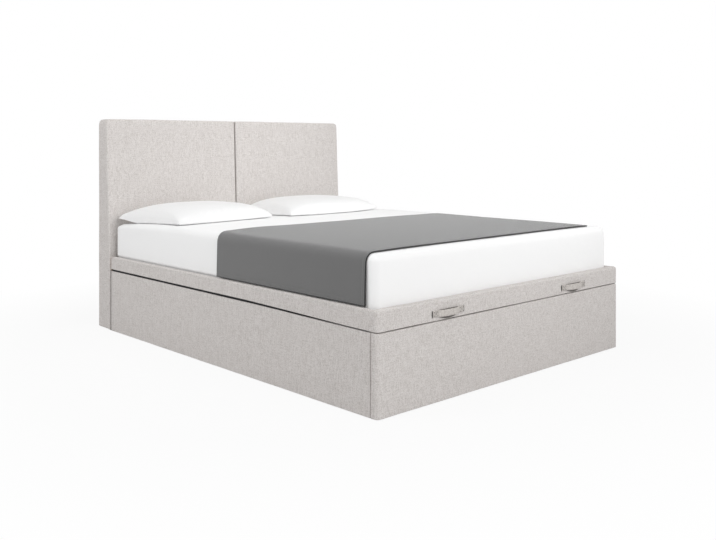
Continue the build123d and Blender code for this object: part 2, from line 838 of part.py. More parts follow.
x_handle = half_width * handle_share
with BuildPart() as handle:
    with BuildSketch(Plane.XY.offset(rim_bottom + handle_low)):
        with BuildLine():
            outer = handle_width / 2
            inner = outer - handle_thickness
            y_slit = y_foot - soft_gap
            bow = ThreePointArc(
                (x_handle - outer, y_slit),
                (x_handle, y_foot - handle_reach),
                (x_handle + outer, y_slit),
            )
            lining = ThreePointArc(
                (x_handle - inner, y_slit),
                (x_handle, y_foot - handle_reach + handle_thickness),
                (x_handle + inner, y_slit),
            )
            Line(bow @ 0, lining @ 0)
            Line(bow @ 1, lining @ 1)
        make_face()
    extrude(amount=handle_height)
save_pair(handle, "handle")
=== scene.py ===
"""Looks of a lift-up storage bed: upholstery, bedding, materials, light and camera.

Every length is in metres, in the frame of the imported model: +X to the right seen
from the foot, +Y towards the headboard, +Z up.
"""

import json
import math

import bmesh
import bpy
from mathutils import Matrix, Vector, noise


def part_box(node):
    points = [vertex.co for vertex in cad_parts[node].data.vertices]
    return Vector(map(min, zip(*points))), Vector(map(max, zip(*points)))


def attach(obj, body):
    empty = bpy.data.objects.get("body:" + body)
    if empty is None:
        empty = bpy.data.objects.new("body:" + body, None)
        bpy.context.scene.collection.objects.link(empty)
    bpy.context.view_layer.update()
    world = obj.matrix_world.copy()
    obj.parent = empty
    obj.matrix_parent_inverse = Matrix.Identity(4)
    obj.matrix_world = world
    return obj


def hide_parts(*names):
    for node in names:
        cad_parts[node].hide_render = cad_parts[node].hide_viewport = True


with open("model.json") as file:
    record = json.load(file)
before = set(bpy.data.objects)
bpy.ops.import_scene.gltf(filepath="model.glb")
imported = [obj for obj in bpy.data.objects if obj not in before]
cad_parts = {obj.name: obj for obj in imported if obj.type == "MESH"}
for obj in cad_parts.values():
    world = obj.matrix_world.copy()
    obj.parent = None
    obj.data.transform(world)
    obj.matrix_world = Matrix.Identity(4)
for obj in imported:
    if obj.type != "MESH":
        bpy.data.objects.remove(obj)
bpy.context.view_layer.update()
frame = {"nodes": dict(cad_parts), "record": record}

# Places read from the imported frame
foot_low, foot_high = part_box("foot_cover")
side_low, side_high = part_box("side_cover_right")
rim_low, rim_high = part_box("lid_cover_foot")
rim_side_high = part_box("lid_cover_right")[1]
tube_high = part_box("lid_side_tube_right")[1]
bed_low, bed_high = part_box("mattress")
throw_low, throw_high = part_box("throw")

# Meshes
SAME_PLACE = 1e-6
EDGE_ROWS = 5

# Upholstery of the base and of the lid's rim
STEP = 0.03
CORNER = 0.016
BASE_EDGE = 0.005
RIM_EDGE = 0.009
HEM = 0.003
HEM_DROP = 0.003
PADDING = 0.017
TOP_PADDING = 0.009
SEAM = 0.0045
SEAM_GAP = 0.0025
# The foot cover's edge beside the seam: places from the seam, and how far the face
# is drawn in there, or out below zero
WELT = (
    (0.0010, 0.0045),
    (0.0018, 0.0015),
    (0.0030, -0.0008),
    (0.0046, -0.0022),
    (0.0064, -0.0021),
    (0.0078, -0.0006),
    (0.0090, 0.0),
    (0.0110, 0.0),
)
RIM_GAP_SIDE = 0.003
RIM_GAP_FOOT = 0.002
RIM_PADDING = 0.008
RIM_WRAP = 0.004
RIM_LIP = 0.002
RIM_INNER_EDGE = 0.006
RIM_END = 0.014
RIM_HEAD_GAP = 0.009
# The gap below the rim lies higher along the sides than at the foot
SIDE_COVER_RISE = 0.0065
SIDE_RIM_RISE = 0.0115
SIDE_RISE_REACH = 0.85
RISEN_DEPTH = 0.006
RIDGE_DEPTH = 0.0095
# How far down a face of the rim must turn to take the black lining, which paints the shade in the gap
# below the rim along the sides
GAP_SHADE_UNDERSIDE = 0.3
UNEVEN = 0.0006
UNEVEN_SIZE = 0.13

# Headboard
HEAD_EDGE = 0.010
HEAD_CROWN = 0.006
HEAD_CROWN_REACH = 0.07
HEAD_TIGHT_SHARE = 0.7
HEAD_RAKE = 0.029
HEAD_BACK_INSET = 0.0015
HEAD_STEP = 0.02
HEAD_PROUD_SIDE = 0.004
HEAD_PROUD_TOP = 0.004
HEAD_MIDDLE_GAP = 0.0015
HEAD_CORNER = 0.024

# Bedding
BED_EDGE = 0.034
BED_STEP = 0.025
BED_FIT = 0.001
BED_CROWN = 0.005
BED_CROWN_POWER = 3.5
BED_CROWN_REACH = 0.06
BED_CROWN_END = 0.50
BED_CROWN_FADE = 0.35
BED_SINK = 0.028
BED_SINK_FROM = 0.35
BED_HEAD_GAP = 0.015
BED_CORNER_SHARE = 0.75
BED_TUCK = 0.006
BED_TUCK_RISE = 0.005
THROW_THICKNESS = 0.0055
THROW_CLEAR = 0.0008
THROW_STEP = 0.016
THROW_HANG = 0.0045
# Height of the throw's folds, how many a metre has, and how they fade in on the top
THROW_WAVE = 0.0022
THROW_SIDE_WAVES = (6, 4)
THROW_TOP_WAVES = (2.3, 2.3)
THROW_TOP_PATTERN = 5.0
THROW_TOP_FADE = 0.1
THROW_TOP_LIFT = 0.6
THROW_SLOPE_STEP = 0.002
THROW_SLACK = 0.006
THROW_SLACK_PLACE = (-0.60, -0.02)
THROW_SLACK_REACH = (0.17, 0.13)
# Width of the bands along the throw's foot edge and hem that are painted near-black as shade
HEM_SHADE_BAND = 0.0055
HEM_STITCH_LINES = (0.0085, 0.0215)
HEM_STITCH_DEPTH = 0.0012
HEM_STITCH_SPREAD = 0.0025
PILLOW_STEP = 0.012
PILLOW_CLEAR = 0.0008
PILLOW_SEAM_RISE = 0.003
PILLOW_PULL = 0.03
PILLOW_FRONT_PULL = {"pillow_left": 0.0, "pillow_right": -0.2}
# The four tips of each pillow, front pair first, each pair from left to right:
# how far they stand off the mattress, and their places in plan
PILLOW_TIP_RISE = {
    "pillow_left": ((0.0, 0.0), (0.039, 0.012)),
    "pillow_right": ((0.0, 0.0), (0.006, 0.004)),
}
PILLOW_TIPS = {
    "pillow_left": (((-0.762, 0.378), (-0.103, 0.462)), ((-0.808, 0.956), (-0.120, 0.945))),
    "pillow_right": (((-0.012, 0.445), (0.725, 0.490)), ((-0.020, 0.945), (0.660, 0.945))),
}
PILLOW_ROUNDING = 3
PILLOW_FULLNESS = 0.42
PILLOW_BELLY = 2.4
PILLOW_TIP_POWER = 4
PILLOW_SWELL = 0.008
PILLOW_TOP_GAP = 0.0045
# The open wedge below the left pillow's rear left tip
PILLOW_WEDGE = 0.038
PILLOW_WEDGE_REACH = 0.20
PILLOW_VOXEL = 0.006
PILLOW_SMOOTHING = 2
PILLOW_PRESSURE = 4.0
PILLOW_FRAMES = 20

# Pull straps
STRAP_STEP = 0.04
STRAP_THICKNESS = 0.0045
STRAP_FLAT_SHARE = 0.74
STRAP_TOP_BOW = 0.011
STRAP_BOTTOM_BOW = 0.013
# A strap's section: share of its height from the bottom, share of its thickness
STRAP_SECTION = (
    (0.0, 0.2),
    (0.0, 0.8),
    (0.06, 1.0),
    (0.5, 1.12),
    (0.94, 1.0),
    (1.0, 0.8),
    (1.0, 0.2),
    (0.94, 0.0),
    (0.5, 0.0),
    (0.06, 0.0),
)
SLIT_WIDTH = 0.005
SLIT_SHIFT = (-0.0012, 0.0024)
SLIT_BEYOND = 0.002
SLIT_PROUD = 0.0007
SLIT_DEPTH = 0.003
# A dark patch on the rim behind each strap, which paints the strap's shadow
STRAP_SHADOW_SHARE = 0.62
STRAP_SHADOW_STEP = 0.06
STRAP_SHADOW_DROP = 0.0125
STRAP_SHADOW_THICKNESS = 0.0012
STITCH = 0.0045
STITCH_PITCH = 1.45
STITCH_THICKNESS = 0.0015
STITCH_BOX = (0.024, 0.017)
STITCH_BOX_INSET = 0.004
STITCH_LEVEL = 1.1
STITCH_RINGS = (-1.0, -0.55, 0.0, 0.55, 1.0)
STITCH_END = 0.05

# Camera, fitted to corners of the bed in the photograph
CAMERA_PLACE = (-2.985, -3.295, 1.008)
CAMERA_TURN = -43.0
CAMERA_LENS = 43.04
CAMERA_SHIFT = -0.178

# Light: the sky's strength, and each lamp's place, aim, size, power and beam in degrees
SKY = 0.58
LAMPS = {
    "key": ((0.3, -0.6, 3.4), (0.0, 0.0, 0.6), 2.0, 8.5, 180.0),
    "front": ((-0.9, -3.9, 2.3), (0.0, -0.6, 0.4), 2.0, 48.5, 180.0),
    "left": ((-3.0, 0.4, 2.5), (-0.6, 0.3, 0.5), 1.6, 27.5, 180.0),
    "headboard": ((1.5, -2.6, 2.3), (0.05, 0.98, 1.05), 1.2, 6.0, 60.0),
}
FLOOR_REACH = 12.0
FLOOR_GREY = 0.74
FLOOR_WHITE = 0.90
FLOOR_ROUGHNESS = 0.9
FLOOR_SHADE_NEAR = 1.6
FLOOR_SHADE_FAR = 2.6

# Colours of the upholstery's yarn, each with its place in the mix of patterns, and
# how steep a face may be to be woven as a level one
MELANGE = (
    (0.37, (0.465, 0.43, 0.405)),
    (0.50, (0.645, 0.61, 0.59)),
    (0.61, (0.74, 0.71, 0.69)),
    (0.70, (0.81, 0.79, 0.775)),
)
LEVEL_FACE = 0.7


def object_of(name, form):
    """A smooth-shaded object of a form, with its faces turned outwards."""
    mesh = bpy.data.meshes.new(name)
    bmesh.ops.recalc_face_normals(form, faces=form.faces)
    form.to_mesh(mesh)
    form.free()
    mesh.polygons.foreach_set("use_smooth", [True] * len(mesh.polygons))
    piece = bpy.data.objects.new(name, mesh)
    bpy.context.collection.objects.link(piece)
    return piece


def make_object(name, points, faces):
    """A smooth-shaded object from its corners and faces."""
    plain = bpy.data.meshes.new(name)
    plain.from_pydata([tuple(p) for p in points], [], faces)
    form = bmesh.new()
    form.from_mesh(plain)
    bpy.data.meshes.remove(plain)
    bmesh.ops.remove_doubles(form, verts=form.verts, dist=SAME_PLACE)
    return object_of(name, form)


def skin(name, rings):
    """A closed surface through rings of points that correspond one to one."""
    count = len(rings[0])
    faces = []
    for row in range(len(rings) - 1):
        for col in range(count):
            a = row * count + col
            b = row * count + (col + 1) % count
            faces.append((a, b, b + count, a + count))
    last = (len(rings) - 1) * count
    faces.append(tuple(range(count)))
    faces.append(tuple(range(last, last + count)))
    return make_object(name, [p for ring in rings for p in ring], faces)


def spread(low, high, step):
    """Places from low to high, about a step apart, both ends included."""
    count = max(1, round(abs(high - low) / step))
    return [low + (high - low) * i / count for i in range(count + 1)]


def arc(start, end, count=5):
    """Cosine and sine of angles from start to end, in degrees."""
    turns = [math.radians(start + (end - start) * i / count) for i in range(count + 1)]
    return [(math.cos(turn), math.sin(turn)) for turn in turns]


def smooth(share):
    """An even turn from 0 to 1."""
    share = min(max(share, 0.0), 1.0)
    return share * share * (3 - 2 * share)


def undulate(piece, amount, size):
    """Moves a surface in and out a little, as cloth over foam does."""
    mesh = piece.data
    moves = [v.normal * amount * noise.noise(v.co / size) for v in mesh.vertices]
    for vertex, move in zip(mesh.vertices, moves):
        vertex.co += move
    mesh.update()
    return piece


def flatten_shading(piece):
    """Keeps wide faces evenly shaded beside their rounded edges."""
    piece.modifiers.new("shading", "WEIGHTED_NORMAL")
    return piece


def dress(piece, body, slot, replaced=()):
    """Ties a piece to its body, its material slot and the nodes that it stands for."""
    piece.data.materials.append(FINISHES[slot])
    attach(piece, body)
    if replaced:
        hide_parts(*replaced)
    return piece


def rounded_box(name, low, high, radius, step, levels=()):
    """A box of even quads with all its edges rounded, and rows at extra levels."""

    def stations(start, end):
        near = [start + radius * i / EDGE_ROWS for i in range(EDGE_ROWS)]
        far = [end - radius * i / EDGE_ROWS for i in reversed(range(EDGE_ROWS))]
        return near + spread(start + radius, end - radius, step) + far

    axes = [stations(low[k], high[k]) for k in range(3)]
    axes[2] = sorted(axes[2] + list(levels))
    points, faces = [], []
    for k in range(3):
        first, second = [a for i, a in enumerate(axes) if i != k]
        for level in (low[k], high[k]):
            start = len(points)
            for a in first:
                for b in second:
                    spot = [a, b]
                    spot.insert(k, level)
                    points.append(spot)
            across = len(second)
            for i in range(len(first) - 1):
                for j in range(across - 1):
                    corner = start + i * across + j
                    faces.append((corner, corner + 1, corner + across + 1, corner + across))
    rounded = []
    for point in points:
        core = Vector(
            min(max(point[k], low[k] + radius), high[k] - radius) for k in range(3)
        )
        out = Vector(point) - core
        rounded.append(core + out.normalized() * radius if out.length > 0 else Vector(point))
    return make_object(name, rounded, faces)


class Station:
    """A place along the three upholstered sides, in plan.

    The outer point has an inward direction and the inner point its mitre. Pull
    draws the outer face in, or out below zero. Drop lowers the top, as a share of
    the height. Rise is how much of the side's rise this place has, from 0 to 1.
    """

    def __init__(self, outer, inward, inner, mitre, pull=0.0, drop=0.0, rise=0.0):
        self.outer, self.inward = outer, inward
        self.inner, self.mitre = inner, mitre
        self.pull, self.drop, self.rise = pull, drop, rise

    def mirrored(self):
        """The same place on the other side of the bed."""
        pairs = [(-x, y) for x, y in (self.outer, self.inward, self.inner, self.mitre)]
        return Station(*pairs, self.pull, self.drop, self.rise)

    def ring(self, section, top_rise=0.0, bottom_rise=0.0):
        """The points of a closed section here, its outer top or bottom edge raised."""
        floor = min(height for _, _, height in section)
        ceiling = max(height for _, _, height in section)
        points = []
        for side, depth, height in section:
            start, way = (self.inner, self.mitre)
            raised = 0.0
            if side == "out":
                start, way = (self.outer, self.inward)
                if depth <= RISEN_DEPTH:
                    share = (height - floor) / (ceiling - floor)
                    raised = self.rise * (top_rise * share + bottom_rise * (1 - share))
                depth = max(depth, self.pull) + min(self.pull, 0.0)
            up = floor + (height - floor) * (1 - self.drop) + raised
            points.append((start[0] + way[0] * depth, start[1] + way[1] * depth, up))
        return points


class Line:
    """The upholstered line in plan: two sides, two round corners and the foot."""

    def __init__(self, outer_x, outer_y, inner_x, inner_y):
        self.outer_x, self.outer_y = outer_x, outer_y
        self.inner_x, self.inner_y = inner_x, inner_y

    def at_side(self, y, pull=0.0, drop=0.0):
        """A station on the left side."""
        mitre = (1, 0) if y > self.inner_y else (1, 1)
        inner = (-self.inner_x, max(y, self.inner_y))
        rise = smooth((y - self.outer_y - CORNER) / SIDE_RISE_REACH)
        return Station((-self.outer_x, y), (1, 0), inner, mitre, pull, drop, rise)

    def down_side(self, start, end):
        """Stations on the left side from one place to another."""
        return [self.at_side(y) for y in spread(start, end, STEP)]

    def seam(self, y, way):
        """Stations that round a cover off at a seam, starting at the seam."""
        edge = [(SEAM_GAP + SEAM * (1 - c), SEAM * (1 - s)) for c, s in arc(0, 90, 4)]
        return [self.at_side(y + way * near, pull) for near, pull in edge]

    def welt(self, y):
        """Stations over the raised edge of a cover that starts at a seam."""
        return [self.at_side(y - near, pull) for near, pull in WELT]

    def round_foot(self, start):
        """Stations from the left side round the corner to the middle of the foot."""
        stations = self.down_side(start, self.outer_y + CORNER)
        centre_x, centre_y = CORNER - self.outer_x, self.outer_y + CORNER
        inner = (-self.inner_x, self.inner_y)
        for cos, sin in arc(180, 270, 6)[1:]:
            outer = (centre_x + CORNER * cos, centre_y + CORNER * sin)
            stations.append(Station(outer, (-cos, -sin), inner, (1, 1)))
        for x in spread(centre_x, 0.0, STEP)[1:]:
            mitre = (0, 1) if x > -self.inner_x else (1, 1)
            inner = (max(x, -self.inner_x), self.inner_y)
            stations.append(Station((x, self.outer_y), (0, 1), inner, mitre))
        return stations


def both_sides(half):
    """Stations of the left half, continued over the right half."""
    return half + [station.mirrored() for station in reversed(half[:-1])]


def rounded_face(low, high, edge):
    """The outer face of a section, from its bottom edge to its top edge."""
    bottom = [("out", HEM * (1 - s), low + HEM * (1 - c)) for c, s in arc(0, 90, 3)]
    middle = [("out", 0.0, z) for z in spread(low + HEM, high - edge, STEP)[1:-1]]
    top = [("out", edge * (1 - c), high - edge * (1 - s)) for c, s in arc(0, 90, 5)]
    return bottom + middle + top


def base_section(low, high):
    """A padded cover of the base, wrapped over the top edge of its board."""
    return (
        [("out", PADDING, low)]
        + rounded_face(low, high, BASE_EDGE)
        + [
            ("out", RIDGE_DEPTH, high),
            ("in", 0.0, high),
            ("in", 0.0, high - TOP_PADDING),
            ("out", PADDING, high - TOP_PADDING),
        ]
    )


def make_base_covers():
    """The padded covers of the base's sides and foot, which meet in an upright seam."""
    low, high = foot_low.z - HEM_DROP, foot_high.z
    line = Line(foot_high.x, foot_low.y, side_low.x, foot_high.y)
    seam_y = foot_high.y
    near = SEAM_GAP + SEAM
    side = line.down_side(side_high.y, seam_y + near)[:-1] + line.seam(seam_y, 1)[::-1]
    foot = line.welt(seam_y) + line.round_foot(seam_y - WELT[-1][0])[1:]
    covers = {
        "side_cover_left": side,
        "side_cover_right": [station.mirrored() for station in side],
        "foot_cover": both_sides(foot),
    }
    section = base_section(low, high)
    for node, stations in covers.items():
        rings = [station.ring(section, top_rise=SIDE_COVER_RISE) for station in stations]
        cover = skin(f"{node}_pad", rings)
        undulate(flatten_shading(cover), UNEVEN, UNEVEN_SIZE)
        dress(cover, "base", "upholstery", [node])


def make_rim():
    """The lid's padded rim, one cover round both sides and the foot."""
    low, high = rim_low.z, rim_high.z
    line = Line(rim_high.x, rim_low.y, bed_high.x + RIM_GAP_SIDE, bed_low.y - RIM_GAP_FOOT)
    ledge = line.inner_x - tube_high.x
    section = [("in", ledge, low), ("out", RIM_PADDING, low)] + rounded_face(low, high, RIM_EDGE)
    section += [
        ("in", -RIM_INNER_EDGE * (1 - s), high - RIM_INNER_EDGE * (1 - c))
        for c, s in arc(0, 90, 4)
    ]
    section += [
        ("in", 0.0, tube_high.z),
        ("in", -RIM_LIP, tube_high.z),
        ("in", -RIM_LIP, high - RIM_PADDING),
        ("out", RIM_PADDING, high - RIM_PADDING),
        ("out", RIM_PADDING, low + RIM_WRAP),
        ("in", ledge, low + RIM_WRAP),
    ]
    head = rim_side_high.y - RIM_HEAD_GAP
    end = [
        line.at_side(head - RIM_END * (1 - c), drop=RIM_END * (1 - s) / (high - low))
        for c, s in arc(0, 90, 5)
    ]
    half = end + line.round_foot(head - RIM_END)[1:]
    rings = [station.ring(section, bottom_rise=SIDE_RIM_RISE) for station in both_sides(half)]
    cover = skin("lid_rim_pad", rings)
    # Downward faces along the sides take the black lining: painted shade in the gap below the rim
    for face in cover.data.polygons:
        side = abs(face.center.x) > rim_high.x - RIM_PADDING and face.center.y > bed_low.y
        face.material_index = 1 if side and face.normal.z < -GAP_SHADE_UNDERSIDE else 0
    undulate(flatten_shading(cover), UNEVEN, UNEVEN_SIZE)
    dress(cover, "lid", "upholstery", ["lid_cover_left", "lid_cover_right", "lid_cover_foot"])
    cover.data.materials.append(FINISHES["backing_cloth"])


def tighten_edge(vertex, way, outer, front):
    """Makes the headboard's front edge squarer beside the base and its rim."""
    side = abs(vertex.co.x) - outer + HEAD_EDGE
    ahead = front + HEAD_EDGE - vertex.co.y
    low = 1 - smooth((vertex.co.z - rim_high.z) / HEAD_CROWN_REACH)
    if low > 0 and side > 0 and ahead > 0:
        grow = HEAD_TIGHT_SHARE * low * (HEAD_EDGE / max(side, ahead) - 1)
        vertex.co.x += way * side * grow
        vertex.co.y -= ahead * grow


def make_headboard():
    """Two padded panels that meet in the middle, raked above the mattress."""
    for side, way in (("left", -1), ("right", 1)):
        node = f"headboard_cover_{side}"
        low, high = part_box(node)
        proud = Vector((HEAD_PROUD_SIDE, 0.0, 0.0))
        middle = Vector((HEAD_MIDDLE_GAP, 0.0, 0.0))
        start = low - (proud if way < 0 else -middle)
        end = high + (proud if way > 0 else -middle)
        end += Vector((0.0, -HEAD_BACK_INSET, HEAD_PROUD_TOP))
        panel = rounded_box(f"{node}_pad", start, end, HEAD_EDGE, HEAD_STEP)
        outer = max(abs(start.x), abs(end.x))
        for vertex in panel.data.vertices:
            beyond_x = (abs(vertex.co.x) - outer) / HEAD_CORNER + 1
            beyond_z = (vertex.co.z - end.z) / HEAD_CORNER + 1
            if beyond_x > 0 and beyond_z > 0:
                pull = 1 - max(beyond_x, beyond_z) / math.hypot(beyond_x, beyond_z)
                vertex.co.x += way * -beyond_x * HEAD_CORNER * pull
                vertex.co.z -= beyond_z * HEAD_CORNER * pull
            rise = max(0.0, (vertex.co.z - rim_high.z) / (high.z - rim_high.z))
            depth = (vertex.co.y - start.y) / (end.y - start.y)
            tighten_edge(vertex, way, outer, start.y)
            inward = (outer - abs(vertex.co.x)) / HEAD_CROWN_REACH
            crown = HEAD_CROWN * max(0.0, 1 - inward) ** 2 * smooth(2 * rise)
            vertex.co.y += (HEAD_RAKE * rise + crown) * (1 - depth)
        undulate(panel, 2 * UNEVEN, 2 * UNEVEN_SIZE)
        dress(panel, "base", "upholstery", [node])


def bed_top(x, y):
    """The height of the mattress's top: softly crowned, and pressed down by the pillows."""
    across = abs(x) / bed_high.x
    free = smooth((y - bed_low.y) / BED_CROWN_REACH) * smooth((BED_CROWN_END - y) / BED_CROWN_FADE)
    crown = BED_CROWN * (1 - min(across, 1.0) ** BED_CROWN_POWER) * free
    sink = BED_SINK * max(0.0, (y - BED_SINK_FROM) / (bed_high.y - BED_SINK_FROM)) ** 2
    edge = min(max(BED_EDGE - (bed_high.x - abs(x)), 0.0), BED_EDGE)
    return bed_high.z - BED_FIT + crown - sink - BED_EDGE + math.sqrt(BED_EDGE**2 - edge**2)


def make_mattress():
    """The mattress in its fitted sheet."""
    inset = Vector((BED_FIT,) * 3)
    end = bed_high - inset - Vector((0.0, BED_HEAD_GAP, 0.0))
    levels = [rim_high.z + rise for rise in (-BED_TUCK_RISE, 0.0, BED_TUCK_RISE)]
    bed = rounded_box("mattress_sheet", bed_low + inset, end, BED_EDGE, BED_STEP, levels)
    for vertex in bed.data.vertices:
        place = vertex.co
        way = math.copysign(1.0, place.x)
        side, ahead = abs(place.x) - end.x + BED_EDGE, place.y - end.y + BED_EDGE
        if side > 0 and ahead > 0:
            grow = BED_CORNER_SHARE * (math.hypot(side, ahead) / max(side, ahead) - 1)
            place.x += way * side * grow
            place.y += ahead * grow
        if side > 0:
            tucked = smooth(1 - (place.z - rim_high.z) / BED_TUCK_RISE)
            place.x -= way * BED_TUCK * tucked * smooth((place.y - bed_low.y) / (2 * BED_EDGE) - 0.5)
        share = smooth((place.z - bed_high.z + 2 * BED_EDGE) / (2 * BED_EDGE))
        flat = bed_high.z - BED_FIT
        inner_x = min(abs(place.x), bed_high.x - BED_EDGE)
        place.z += share * (bed_top(inner_x, place.y) - flat)
    undulate(bed, UNEVEN, UNEVEN_SIZE)
    dress(bed, "lid", "mattress_cloth", ["mattress"])


def keep_result(piece):
    """Replaces a mesh by what its modifiers make of it."""
    graph = bpy.context.evaluated_depsgraph_get()
    made = bpy.data.meshes.new_from_object(piece.evaluated_get(graph))
    piece.modifiers.clear()
    piece.data = made


def plump(piece, voxel, pressure, cap):
    """Lets the cloth over a filling find its shape, in a short simulation."""
    even = piece.modifiers.new("even mesh", "REMESH")
    even.mode = "VOXEL"
    even.voxel_size = voxel
    keep_result(piece)
    soft = piece.modifiers.new("soft mesh", "SMOOTH")
    soft.iterations = PILLOW_SMOOTHING
    keep_result(piece)
    start = [vertex.co.copy() for vertex in piece.data.vertices]
    cloth = piece.modifiers.new("filling", "CLOTH").settings
    cloth.use_pressure = True
    cloth.uniform_pressure_force = pressure
    cloth.effector_weights.gravity = 0.0
    for number in range(1, PILLOW_FRAMES + 1):
        bpy.context.scene.frame_set(number)
    keep_result(piece)
    bpy.context.scene.frame_set(1)
    for vertex, place in zip(piece.data.vertices, start):
        move = vertex.co - place
        vertex.co = place + move * min(1.0, cap / max(move.length, SAME_PLACE))


def pillow_sheets(node, height, rows, columns):
    """Top and bottom of a pillow whose sides pull in between its four tips."""
    plan, rises = PILLOW_TIPS[node], PILLOW_TIP_RISE[node]
    front_pull = PILLOW_FRONT_PULL[node]
    top, bottom = [], []
    for i in range(rows + 1):
        for j in range(columns + 1):
            u, v = 2 * i / rows - 1, 2 * j / columns - 1
            across = 0.5 + 0.5 * u * (1 - PILLOW_PULL * (1 - v * v))
            pull = front_pull if v < 0 else PILLOW_PULL
            along = 0.5 + 0.5 * v * (1 - pull * (1 - u * u))
            near, far = (Vector(a).lerp(Vector(b), across) for a, b in plan)
            x, y = near.lerp(far, along)
            bed = bed_top(x, y)
            full = [max(0.0, 1 - abs(w) ** PILLOW_ROUNDING) for w in (u, v)]
            swell = (full[0] * full[1]) ** PILLOW_FULLNESS
            tip = rises[v > 0][u > 0] * abs(u * v) ** PILLOW_TIP_POWER
            seam = bed + PILLOW_SEAM_RISE + tip
            top.append((x, y, seam + (height - seam) * swell))
            under = seam - PILLOW_BELLY * (seam - bed) * swell
            bottom.append((x, y, max(bed + PILLOW_CLEAR, under)))
    return top, bottom


def pillow_floor(node, x, y):
    """How low a pillow may reach: the mattress, or under a lifted tip a little more."""
    bed = bed_top(x, y)
    lift = 0.0
    if node == "pillow_left":
        tip = PILLOW_TIPS[node][1][0]
        near = max(0.0, 1 - math.hypot(x - tip[0], y - tip[1]) / PILLOW_WEDGE_REACH)
        flat = bed_top(bed_high.x - BED_EDGE, y)
        lift = PILLOW_WEDGE * near + max(0.0, flat - bed) * smooth(2 * near)
    return bed + PILLOW_CLEAR + lift


def make_pillows():
    """Two plump pillows that rest on the mattress."""
    for node in PILLOW_TIPS:
        low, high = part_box(node)
        rows = round((high.x - low.x) / PILLOW_STEP)
        columns = round((high.y - low.y) / PILLOW_STEP)
        ceiling = high.z - PILLOW_TOP_GAP
        top, bottom = pillow_sheets(node, ceiling - PILLOW_SWELL, rows, columns)
        faces = grid_faces(0, rows, columns) + grid_faces(len(top), rows, columns)
        pillow = make_object(f"{node}_case", top + bottom, faces)
        plump(pillow, PILLOW_VOXEL, PILLOW_PRESSURE, PILLOW_SWELL)
        for vertex in pillow.data.vertices:
            lowest = pillow_floor(node, vertex.co.x, vertex.co.y)
            vertex.co.z = max(min(vertex.co.z, ceiling), lowest)
        pillow.data.polygons.foreach_set("use_smooth", [True] * len(pillow.data.polygons))
        dress(pillow, "lid", "pillow_cloth", [node])


def grid_faces(start, rows, columns):
    """Quads of a grid of points, whose first point has a place in the list."""
    across = columns + 1
    corners = [start + i * across + j for i in range(rows) for j in range(columns)]
    return [(c, c + 1, c + across + 1, c + across) for c in corners]


def hem_places(low, high):
    """Places across a hemmed cloth, close together at its two rows of stitches."""
    near = [0.0, HEM_SHADE_BAND]
    for line in HEM_STITCH_LINES:
        near += [line - HEM_STITCH_SPREAD, line, line + HEM_STITCH_SPREAD]
    near = near[:2] + [place for place in near[2:] if place > near[1]]
    far = [high - place for place in reversed(near)]
    inner = spread(low + near[-1], high - near[-1], THROW_STEP)[1:-1]
    return [low + place for place in near] + inner + far


def throw_point(along, y):
    """A point of the throw, by the way along it from its left hem."""
    side = bed_high.x + THROW_CLEAR
    turn = BED_EDGE + THROW_CLEAR
    crown = bed_high.z - BED_FIT + THROW_CLEAR - turn
    rise = crown - throw_low.z
    bend = turn * math.pi / 2
    if along < rise:
        hang = 1 - along / rise
        across, down = THROW_SIDE_WAVES
        wave = noise.noise(Vector((0.0, y * across, along * down)))
        return Vector((-side - hang * (THROW_HANG + THROW_WAVE * wave), y, throw_low.z + along))
    angle = min((along - rise) / bend, 1.0) * math.pi / 2
    x = turn * (1 - math.cos(angle)) - side + max(0.0, along - rise - bend)
    across, down = THROW_TOP_WAVES
    wave = noise.noise(Vector((x * across, y * down, THROW_TOP_PATTERN)))
    wave *= smooth((x + side) / THROW_TOP_FADE)
    ways = zip((x, y), THROW_SLACK_PLACE, THROW_SLACK_REACH)
    slack = math.exp(-sum(((here - there) / reach) ** 2 for here, there, reach in ways))
    lift = (THROW_WAVE * (THROW_TOP_LIFT + wave) + THROW_SLACK * slack) * math.sin(angle)
    top = bed_top(x if angle >= math.pi / 2 else turn - side, y) - bed_high.z + BED_FIT
    return Vector((x, y, crown + turn * math.sin(angle) + top + lift))


def make_throw():
    """A throw over the foot half of the mattress: down to the rim on the left side."""
    turn = BED_EDGE + THROW_CLEAR
    rise = bed_high.z - BED_FIT - BED_EDGE - throw_low.z
    length = rise + turn * math.pi / 2 + throw_high.x + bed_high.x + THROW_CLEAR - turn
    alongs = hem_places(0.0, length)
    places = hem_places(throw_low.y, throw_high.y)
    points = []
    for y in places:
        for along in alongs:
            edges = (along, length - along, y - throw_low.y, throw_high.y - y)
            stitched = any(abs(e - line) < SAME_PLACE for e in edges for line in HEM_STITCH_LINES)
            point = throw_point(along, y)
            if stitched:
                before, after = (throw_point(along + s, y) for s in (-THROW_SLOPE_STEP, THROW_SLOPE_STEP))
                slope = after - before
                point -= Vector((-slope.z, 0.0, slope.x)).normalized() * HEM_STITCH_DEPTH
            points.append(point)
    faces = grid_faces(0, len(places) - 1, len(alongs) - 1)
    throw = make_object("throw_cloth", points, faces)
    # Faces along the foot edge and the hem take the near-black cloth: a painted shade line
    for face in throw.data.polygons:
        foot = face.center.y < throw_low.y + HEM_SHADE_BAND
        hem = face.center.z < throw_low.z + HEM_SHADE_BAND
        face.material_index = 1 if foot or hem else 0
    thick = throw.modifiers.new("thickness", "SOLIDIFY")
    thick.thickness = THROW_THICKNESS
    thick.offset = 1.0
    soft = throw.modifiers.new("soft edges", "SUBSURF")
    soft.levels = soft.render_levels = 1
    dress(throw, "lid", "throw_cloth", ["throw"])
    # The underside and cut edges take the near-black cloth as well, which paints the shade line along the
    # edges
    throw.data.materials.append(THROW_SHADE_CLOTH)
    thick.material_offset = thick.material_offset_rim = 1


